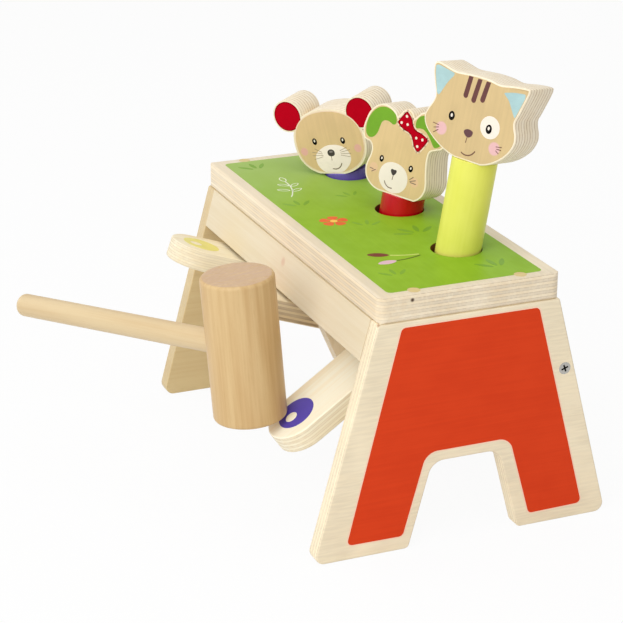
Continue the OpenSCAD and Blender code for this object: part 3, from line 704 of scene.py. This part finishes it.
def print_board():
    """A green field with a sprig, a bloom, two leaves and some grass."""
    board = Surface(BOARD_FACE, "bench", "top")
    # the green turns paler towards the far end: partly the print's own shading, partly a painted
    # reflection of the white surroundings at a grazing angle
    green = paint("green ink", BOARD_FACE, tint(144, 185, 42), tint(138, 178, 38),
                  rough=0.4, shine=0.08, grain=0.35, fade_and_sheen=(tint(158, 188, 92), 10, -125))
    field = Print(board).front_of("top_board").trim_box(
        left=-119.5, right=122.2, low=-45.6, high=44.7, corner=3)
    field.made("green_print", green, 2)

    sprig = Print(board)
    for x, y, size, heading in ((-53, -27.5, 9.5, 118), (-55, -27, 9.5, 238), (-62, -24.6, 9, 128),
                                (-63.5, -24.4, 9, 226), (-72, -24, 10, 178)):
        sprig.leaf(x, y, size, size * 0.46, heading)
    sprig.hollow(0.55).curve((-44, -31.5), (-58, -25.6), (-73, -24), 0.7)
    sprig.made("pale_sprig", ink("pale sprig ink", (238, 244, 222)), 3)

    x, y, reach = 6, -26, 9
    # A petal's corners: degrees aside of its heading, and a share of its reach
    petal = ((-8, 0.1), (-33, 0.72), (-17, 0.96), (17, 0.96), (33, 0.72), (8, 0.1))
    bloom = Print(board)
    for heading in range(20, 380, 72):
        corners = [(math.radians(heading + aside), share) for aside, share in petal]
        bloom.outline([(x + reach * math.cos(a) * share, y + reach * math.sin(a) * share)
                       for a, share in corners], 44)
    bloom.made("orange_bloom", ink("orange ink", (236, 104, 52)), 3)
    Print(board).oval(x, y, 4.2, 4.2).made(
        "bloom_heart", ink("bloom heart ink", (250, 206, 96)), 4)

    for name, x, length, width, heading, colour in (
            ("brown", 70, 14, 6.6, 246, (120, 52, 42)), ("pink", 79, 13, 6, 276, (232, 192, 206))):
        Print(board).leaf(x, -20, length, width, heading).made(
            name + "_leaf", ink(name + " ink", colour), 3)
    for name, points, width, colour in (
            ("pale", ((74, -5), (73, -12), (70, -20.4)), 1.3, (206, 220, 120)),
            ("dark", ((75.6, -5), (78, -12), (79, -20.4)), 1.1, (92, 108, 34))):
        Print(board).curve(*points, width).made(name + "_stem", ink(name + " stem ink", colour), 3)

    tufts, apart = Print(board), 3
    for x, y, reach, headings in (
            (-100, -30, 12, (150, 185, 225)), (-24, -33, 11, (140, 180, 220)),
            (22, -12, 10, (120, 160, 205)), (-30, 2, 9, (150, 190, 230)),
            (44, 10, 13, (130, 170, 215, 250)), (102, -30, 10, (140, 180, 220)),
            (110, 26, 13, (150, 185, 225)), (-100, 30, 12, (140, 175, 215)),
            (38, 37, 9, (150, 190, 230))):
        for heading in headings:
            a = math.radians(heading)
            tufts.leaf(x + apart * math.cos(a), y + apart * math.sin(a), reach, reach * 0.26,
                       heading)
    tufts.made("grass_tufts", ink("deep green ink", (126, 170, 46)), 3)


def print_panels():
    """An orange-red field on a pale one that shows as a thin line round it."""
    red = paint("orange-red ink", NEAR_FACE, tint(221, 69, 32), tint(215, 65, 30),
                rough=0.45, shine=0.04, grain=0.5)
    pale = paint("pale ground ink", NEAR_FACE, tint(250, 222, 196), tint(246, 214, 186))
    points = [(-40.2, 129.6), (41.2, 129.5), (73.7, 7.1), (39.1, 6.6), (25.5, 54.5),
              (-23.1, 54.5), (-36.1, 7.4), (-70.5, 7.8)]
    corner, arch, line = 3.5, 7.6, 0.8
    radii = (corner, corner, corner, corner, arch, arch, corner, corner)
    for face, side, mirror in ((NEAR_FACE, "near", 1), (FAR_FACE, "far", -1)):
        panel = Surface(face, "bench", "panel")
        shape = [(x * mirror, y) for x, y in points]
        Print(panel).cornered(shape, radii).made(side + "_panel_ground", pale, 1)
        Print(panel).cornered(shape, radii).inset(line).made(side + "_panel_print", red, 2)


def print_levers():
    """A dot on each striking end, with a small bare spot beyond its middle."""
    radius, bare_radius, beyond = 11, 3.6, 3.5
    for body, face, colour in (("near_lever", NEAR_LEVER, (92, 76, 178)),
                               ("middle_lever", MIDDLE_LEVER, (198, 34, 38)),
                               ("far_lever", FAR_LEVER, (236, 226, 128))):
        dot = Print(Surface(face, body, "lever"))
        dot.ring(0, -STRIKE, radius, 0, -STRIKE - beyond, bare_radius)
        dot.made(body + "_dot", ink(body + " dot ink", colour), 2)


def face_ink(name, face, colour, cheeks, radius, pink):
    """The tan ink of an animal's face, with soft pink cheeks."""
    darker, solid = 0.955, 0.72
    spots = [(face @ Vector((x * MM, y * MM, 0)), radius, tint(*pink), solid) for x, y in cheeks]
    return paint(name, face @ UP_FACE, tint(*colour), tint(*shade_of(colour, darker)),
                 rough=0.45, shine=0.1, grain=0.45, spots=spots)


def eyes(head, spots, wide, tall, lights, light_wide, light_tall, layer=4):
    """Dark oval eyes, each with a small light in it."""
    dark, shine = Print(head), Print(head)
    for x, y, lean in spots:
        dark.oval(x, y, wide, tall, lean)
    for x, y in lights:
        shine.oval(x, y, light_wide, light_tall, steps=20)
    dark.made(head.body + "_eyes", INKS["black"], layer)
    shine.made(head.body + "_eye_lights", INKS["white"], layer + 1)


def print_cat():
    """A tan face with blue ears, brown stripes and a white patch round one eye."""
    cat = Surface(CAT_FACE, "cat", "head")
    tan = face_ink("cat face ink", CAT_FACE, (214, 188, 139), ((-17.4, 13.4), (18.6, 12.2)), 4.1,
                   (228, 183, 184))
    Print(cat).front_of("cat_head", HEAD_MARGIN).made("cat_face_print", tan, 2)
    ears = Print(cat)
    ears.outline([(-28.6, 45.2), (-26.9, 46.1), (-15.5, 44.3), (-15.8, 42.8), (-19, 38.5),
                  (-23.1, 30.2), (-24.8, 31.4), (-25.3, 33.4), (-27.7, 40.5)], 22)
    ears.outline([(17.5, 42.5), (24.3, 44.3), (31, 45.2), (31.5, 43.2), (29.4, 36.9),
                  (27.4, 31.1), (25.7, 33.4), (21.9, 39.2)], 20)
    ears.made("cat_ear_prints", INKS["blue"], 3)
    stripes = Print(cat).strokes(((-4.3, 48, -5.9, 34.8), (1.8, 48, -0.3, 33.6),
                                  (7.5, 48, 5.3, 35.2)), 3.0)
    stripes.trim(0, 45.4, 0, 1).made("cat_stripes", INKS["brown"], 3)
    Print(cat).oval(13.4, 22.3, 12.6, 12.2).made("cat_eye_patch", INKS["white"], 3)
    eyes(cat, ((-12.2, 21.8, 0), (12.9, 21.3, 0)), 3.9, 5.0,
         ((-12.2, 22.1), (12.8, 21.7)), 1.4, 2.0)
    nose = Print(cat).outline([(-2.9, 16.1), (-0.9, 17.8), (2.4, 17.6), (3.6, 16.6), (2.7, 14),
                               (0.2, 13.1), (-1.7, 14.3)])
    nose.made("cat_nose", INKS["nose"], 4)
    lines = Print(cat).strokes((
        (0.2, 13.1, -0.1, 10.3), (-23.2, 15, -19.5, 14.7), (-22.3, 12.6, -19.2, 13.5),
        (-22, 10, -19.2, 12.1), (19.6, 13.6, 23.1, 14.2), (20.2, 12.5, 23, 12.6),
        (19.9, 11.5, 21.7, 10.5)), 0.4)
    lines.curve((-1.7, 4.6), (2.9, 4.0), (7, 7.4), 0.6)
    lines.made("cat_lines", INKS["line"], 4)


def print_dog():
    """A tan face with green ears, a white muzzle and a dotted red bow."""
    dog = Surface(DOG_FACE, "dog", "head")
    tan = face_ink("dog face ink", DOG_FACE, (224, 196, 146), ((-15.6, 12.4), (13.2, 12.8)), 3.2,
                   (226, 190, 152))
    Print(dog).front_of("dog_head", HEAD_MARGIN).made("dog_face_print", tan, 2)
    ears = Print(dog)
    ears.outline([(-27, 32.9), (-26.6, 38.7), (-23.9, 44.4), (-19.2, 47.9), (-14.1, 48.3),
                  (-10.1, 46.8), (-8.2, 44.8), (-7.2, 41.3), (-9.1, 39.8), (-11.4, 40.7),
                  (-14.2, 41.1), (-16.9, 39.8), (-17.7, 36.9), (-18.2, 31.4), (-21.9, 27.6),
                  (-25.7, 28.9)])
    ears.outline([(4.8, 46), (6, 49.6), (9, 51.6), (13.5, 52.2), (18.3, 50.3), (22.6, 46.5),
                  (25, 41.8), (24.2, 38.3), (21.8, 36.5), (20.2, 36), (18.4, 38), (16, 40.6),
                  (12.4, 43.6), (9, 44), (5.8, 42.6)])
    ears.made("dog_ear_prints", INKS["green"], 3)
    bow = [(-2, 50.7), (2.5, 47.3), (3.6, 44.1), (6.2, 41.7), (10.5, 41.4), (14.7, 39.9),
           (15.8, 38.7), (14.3, 35.3), (11.7, 30.8), (9.8, 30.1), (7, 32.7), (5.2, 36.3),
           (2.8, 38.8), (-1.6, 39.4), (-4.8, 40.7), (-6.9, 42.4), (-6, 44.7), (-3.6, 48.8)]
    border = [(*bow[i - 1], *bow[i]) for i in range(len(bow))]
    Print(dog).strokes(border, 1.3).made("dog_bow_rim", INKS["cream"], 4)
    for name, rim, colour, layer in (("edge", 0.1, "dark red", 5), ("print", 0.65, "red", 6)):
        Print(dog).outline(bow, 36, rim).made("dog_bow_" + name, INKS[colour], layer)
    dots = Print(dog)
    for x, y in ((-1.6, 47.5), (-4.1, 43), (0.1, 43.2), (7.7, 37.7), (11.9, 38), (9.6, 33.3)):
        dots.oval(x, y, 1.6, 1.6, steps=16)
    dots.made("dog_bow_dots", INKS["white"], 7)
    Print(dog).oval(-1.3, 10.8, 19.8, 17.5, fuller=0.95).made("dog_muzzle", INKS["white"], 3)
    eyes(dog, ((-11.7, 18.9, 0), (8.8, 19.6, 0)), 2.9, 3.9,
         ((-11.6, 19.2), (8.8, 19.9)), 1.0, 1.5)
    nose = Print(dog).outline([(-4.1, 14.6), (-3.1, 15.7), (-1.8, 15.3), (-0.2, 15.8),
                               (0.4, 14.6), (-0.8, 12.4), (-1.8, 12), (-2.8, 12.6)])
    nose.made("dog_nose", INKS["grey nose"], 4)
    lines = Print(dog).strokes((
        (-1.5, 12.3, -1.6, 9.6), (9.7, 13.5, 11.7, 15.5), (10.2, 12.6, 13.6, 14.2),
        (10.6, 12.1, 14.2, 12.2), (-17.9, 11.3, -15.7, 11.2), (-16.3, 9.6, -14.2, 11.3)), 0.45)
    lines.curve((-6.5, 7.3), (-4.6, 5.1), (-0.5, 4.7), 0.55)
    lines.made("dog_lines", INKS["grey line"], 4)


def print_mouse():
    """A broad tan face with round red ears and a pale muzzle."""
    mouse = Surface(MOUSE_FACE, "mouse", "head")
    wide, tall = 50.4, 41.2             # of the head's oval, without its ears
    seat = (0, 1.8, -0.07, -1)          # the line that the head's flat seat trims it to
    for name, radius, colour, layer in (("edges", 9.15, "dark red", 1), ("prints", 8.6, "red", 2)):
        ears = Print(mouse)
        for x, y in ((-25.86, 38.6), (25.2, 37.3)):
            ears.oval(x, y, radius * 2, radius * 2, steps=48)
        ears.made("mouse_ear_" + name, INKS[colour], layer)
    tan = face_ink("mouse face ink", MOUSE_FACE, (226, 195, 147), ((-19.2, 15.9), (18.9, 15.8)),
                   2.9, (228, 176, 164))
    for name, rim, material, layer in (("rim", HEAD_MARGIN, INKS["cream"], 3),
                                       ("print", 1.6, tan, 4)):
        face = Print(mouse).oval(0, 20.6, wide - 2 * rim, tall - 2 * rim, steps=72, fuller=0.87)
        face.trim(*seat).made("mouse_face_" + name, material, layer)
    muzzle = Print(mouse).outline([
        (-12.1, 12.3), (-12.1, 7.8), (-10.3, 4.4), (-6.4, 1.4), (4.8, 1.2), (9.3, 4.4),
        (12.8, 8.7), (12.5, 12.8), (10.3, 16.5), (6.2, 18.4), (1.8, 19.1), (-3.2, 18.8),
        (-7.4, 16.8), (-10.2, 15)])
    muzzle.trim(*seat).made("mouse_muzzle", INKS["muzzle"], 5)
    eyes(mouse, ((-10.4, 21.7, 8), (9.5, 21.1, 8)), 3.2, 4.2,
         ((-10.4, 22.1), (9.5, 21.6)), 1.1, 1.6, layer=5)
    Print(mouse).oval(-0.5, 14, 5.1, 4.3, fuller=0.9).made("mouse_nose", INKS["grey nose"], 6)
    Print(mouse).oval(-0.4, 14.7, 2.6, 1.2).made("mouse_nose_light", INKS["grey"], 7)
    whiskers = Print(mouse).strokes((
        (-11.6, 17.2, -7, 14.8), (-13.6, 15.2, -6.8, 13.8), (-13.8, 13, -6.4, 12.8),
        (-13, 10.6, -6.8, 11.9), (6, 15, 11, 16.8), (6.2, 14, 13, 15.2), (6.3, 13.1, 13.4, 12.9),
        (6.2, 12.2, 12.4, 10.8)), 0.3)
    whiskers.made("mouse_whiskers", INKS["whisker"], 6)
    lines = Print(mouse).strokes(((-0.8, 11.8, -1, 9.4),), 0.32)
    lines.curve((-1.7, 4.2), (1.1, 3.8), (5.4, 7.2), 0.6)
    lines.made("mouse_lines", INKS["grey line"], 6)


# ---------------------------------------------------------------- the studio

AMBIENT = 0.55           # strength of the world's light on the toy
AMBIENT_TINT = (1.0, 0.99, 0.975, 1.0)
FLOOR_RADIUS = 2.2
FLOOR_GREY = (0.86, 0.86, 0.86, 1.0)
FLOOR_GLOW = 0.93        # share of the floor's look that is plain white to the camera
MIDDLE = (0.0, -0.02, 0.09)
# Each lamp's name, place, width, height and power
LAMPS = (("key soft box", (0.88, -1.08, 0.85), 1.1, 1.0, 11.0),
         ("left soft box", (-0.9, -1.0, 0.5), 1.0, 0.9, 2.5),
         ("top soft box", (0.05, -0.3, 1.4), 1.3, 1.3, 5.5))
CAMERA_AZIMUTH, CAMERA_HEIGHT, CAMERA_ROLL = 67.29, 21.27, 0.24         # degrees
CAMERA_AIM = (150.01, -99.69, 154.99)   # millimetres
CAMERA_AWAY = 1.00477                   # metres from what it aims at
LENS, SENSOR = 118.26, 36.0


def floor():
    """A pale floor that shows white to the camera and keeps a soft shadow."""
    bm = bmesh.new()
    bmesh.ops.create_circle(bm, cap_ends=True, radius=FLOOR_RADIUS, segments=96)
    mesh = bpy.data.meshes.new("floor")
    bm.to_mesh(mesh)
    bm.free()
    plate = bpy.data.objects.new("floor", mesh)
    bpy.context.scene.collection.objects.link(plate)
    f = Finish("floor white", Base_Color=FLOOR_GREY, Roughness=0.9, Specular_IOR_Level=0.0)
    mottle = f.noise(f.position, along=3, across=3, detail=2)
    f.wire(Roughness=f.span(mottle, 0.3, 0.7, 0.86, 0.94))
    white = f.add("Emission", {"Color": WHITE, "Strength": 1.0})
    shown = f.add("MixShader", {0: f.math("MULTIPLY", f.seen(), FLOOR_GLOW),
                                1: f.shader.outputs[0], 2: white})
    out = next(n for n in f.tree.nodes if n.type == "OUTPUT_MATERIAL")
    f.tree.links.new(shown, out.inputs["Surface"])
    mesh.materials.append(f.material)


def world():
    """White to the camera and in reflections, a soft pale light on the toy."""
    sky = bpy.data.worlds.new("studio")
    bpy.context.scene.world = sky
    sky.use_nodes = True
    sky.node_tree.nodes.clear()
    air = Shading(sky.node_tree)
    soft = air.add("Background", {"Color": AMBIENT_TINT, "Strength": AMBIENT})
    white = air.add("Background", {"Color": WHITE, "Strength": 1.0})
    out = air.tree.nodes.new("ShaderNodeOutputWorld")
    air.tree.links.new(air.add("MixShader", {0: air.seen(), 1: soft, 2: white}),
                       out.inputs["Surface"])


def lamps():
    """Soft boxes that all aim at the middle of the toy."""
    for name, place, wide, tall, power in LAMPS:
        light = bpy.data.lights.new(name, "AREA")
        light.shape = "RECTANGLE"
        light.size, light.size_y, light.energy = wide, tall, power
        stand = bpy.data.objects.new(name, light)
        bpy.context.scene.collection.objects.link(stand)
        stand.location = place
        ahead = Vector(MIDDLE) - Vector(place)
        stand.rotation_euler = ahead.to_track_quat("-Z", "Y").to_euler()


def camera():
    """A camera at the photograph's viewing angle."""
    azimuth, height, roll = (math.radians(degrees) for degrees in
                             (CAMERA_AZIMUTH, CAMERA_HEIGHT, CAMERA_ROLL))
    back = Vector((math.sin(azimuth) * math.cos(height),
                   -math.cos(azimuth) * math.cos(height), math.sin(height)))
    right = Vector((0, 0, 1)).cross(back).normalized()
    up = back.cross(right)
    axes = Matrix((right * math.cos(roll) + up * math.sin(roll),
                   up * math.cos(roll) - right * math.sin(roll), back)).transposed()
    lens = bpy.data.cameras.new("camera")
    lens.lens, lens.sensor_width, lens.sensor_fit = LENS, SENSOR, "HORIZONTAL"
    eye = bpy.data.objects.new("camera", lens)
    bpy.context.scene.collection.objects.link(eye)
    aim = Vector(CAMERA_AIM) * MM
    eye.matrix_world = Matrix.Translation(aim + back * CAMERA_AWAY) @ axes.to_4x4()
    bpy.context.scene.camera = eye


dress_bench()
dress_levers()
dress_pegs()
dress_mallet()
print_board()
print_panels()
print_levers()
print_cat()
print_dog()
print_mouse()
floor()
world()
lamps()
camera()
bpy.context.scene.view_settings.view_transform = "Standard"
